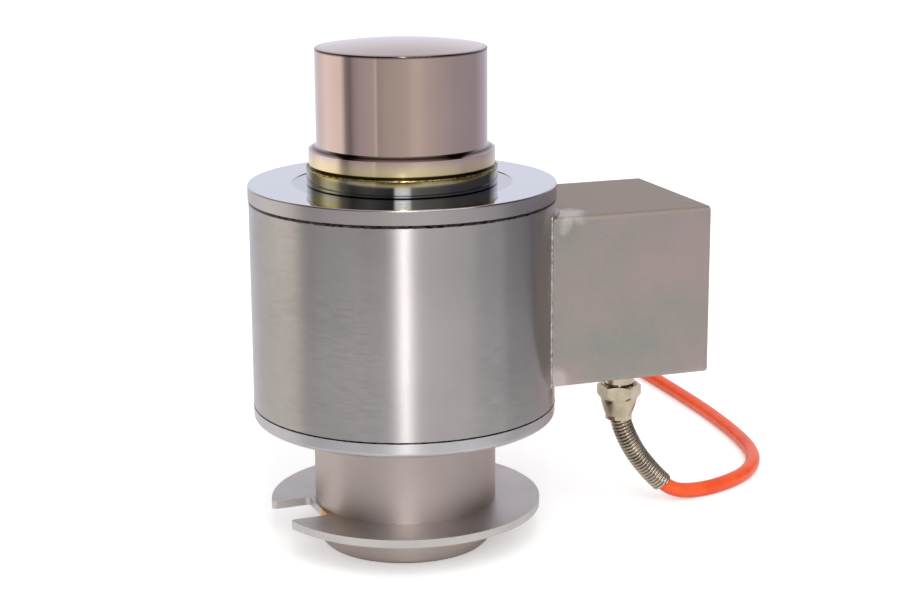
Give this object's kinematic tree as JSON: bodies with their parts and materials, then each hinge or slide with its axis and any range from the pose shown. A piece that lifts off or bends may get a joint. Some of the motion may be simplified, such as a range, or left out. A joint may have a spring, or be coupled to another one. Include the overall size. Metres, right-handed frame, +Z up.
{
  "type": "strain gauge load cell",
  "caption": "Compression load cell: polished column with a domed head in a welded round housing, slotted locating disc at its foot, junction box, gland and coiled cable.",
  "frame": {"origin": "centre of the foot's flat bottom face, on the load axis", "axes": "+Z up the load axis towards the domed head, +X towards the junction box"},
  "size_m": [0.3202, 0.4912, 0.2549],
  "materials": {
    "column_steel": "polished stainless steel",
    "cover_steel": "polished stainless steel",
    "sleeve_steel": "polished stainless steel, tinted by the heat of welding",
    "housing_steel": "finely turned stainless steel",
    "disc_steel": "satin ground stainless steel",
    "box_steel": "matte blasted stainless steel",
    "screw_steel": "plain stainless steel",
    "gland_nickel": "nickel plated brass",
    "bush_steel": "plated steel",
    "seal_glass": "fused sealing glass",
    "pin_gold": "gold plated pins",
    "tab_copper": "copper solder tabs",
    "ferrule_tin": "tinned copper",
    "spring_steel": "drawn spring wire",
    "cable_jacket": "orange extruded jacket",
    "core_insulation": "coloured core insulation",
    "black_rubber": "black sealing rubber",
    "coating_rubber": "white silicone rubber",
    "claw_plastic": "natural nylon",
    "tie_plastic": "black nylon",
    "board_laminate": "green coated laminate",
    "terminal_plastic": "moulded plastic",
    "gauge_film": "amber film over metal foil",
    "loom_sleeve": "black sleeving",
    "resistor_body": "coated ceramic"
  },
  "bodies": {
    "root": {"axial_gauges": "gauge_film", "bare_cores": "core_insulation", "board_screws": "screw_steel", "board_standoffs": "gland_nickel", "bottom_cover": "housing_steel", "box_cover": "box_steel", "box_gasket": "black_rubber", "box_lugs": "box_steel", "box_shell": "box_steel", "bridge_board": "board_laminate", "bridge_loom": "loom_sleeve", "bridge_plug": "terminal_plastic", "bridge_resistors": "resistor_body", "bridge_screws": "screw_steel", "bridge_spacers": "gland_nickel", "cable": "cable_jacket", "cable_coil": "cable_jacket", "cable_tail": "cable_jacket", "cable_ties": "tie_plastic", "core_ferrules": "ferrule_tin", "cover_screws": "screw_steel", "feedthrough_bush": "bush_steel", "feedthrough_glass": "seal_glass", "feedthrough_pins": "pin_gold", "gauge_coatings": "coating_rubber", "gauge_leads": "core_insulation", "gland_body": "gland_nickel", "gland_claw": "claw_plastic", "gland_lock_nut": "gland_nickel", "gland_nut": "gland_nickel", "gland_seal": "black_rubber", "gland_washer": "black_rubber", "housing_tube": "housing_steel", "inner_cores": "core_insulation", "load_column": "column_steel", "locating_disc": "disc_steel", "seal_sleeve": "sleeve_steel", "solder_tabs": "tab_copper", "strain_spring": "spring_steel", "terminal_block": "terminal_plastic", "terminal_screws": "screw_steel", "top_cover": "cover_steel", "transverse_gauges": "gauge_film", "trim_board": "board_laminate", "trim_loom": "loom_sleeve", "trim_plug": "terminal_plastic", "trim_resistors": "resistor_body"}
  },
  "joints": []
}
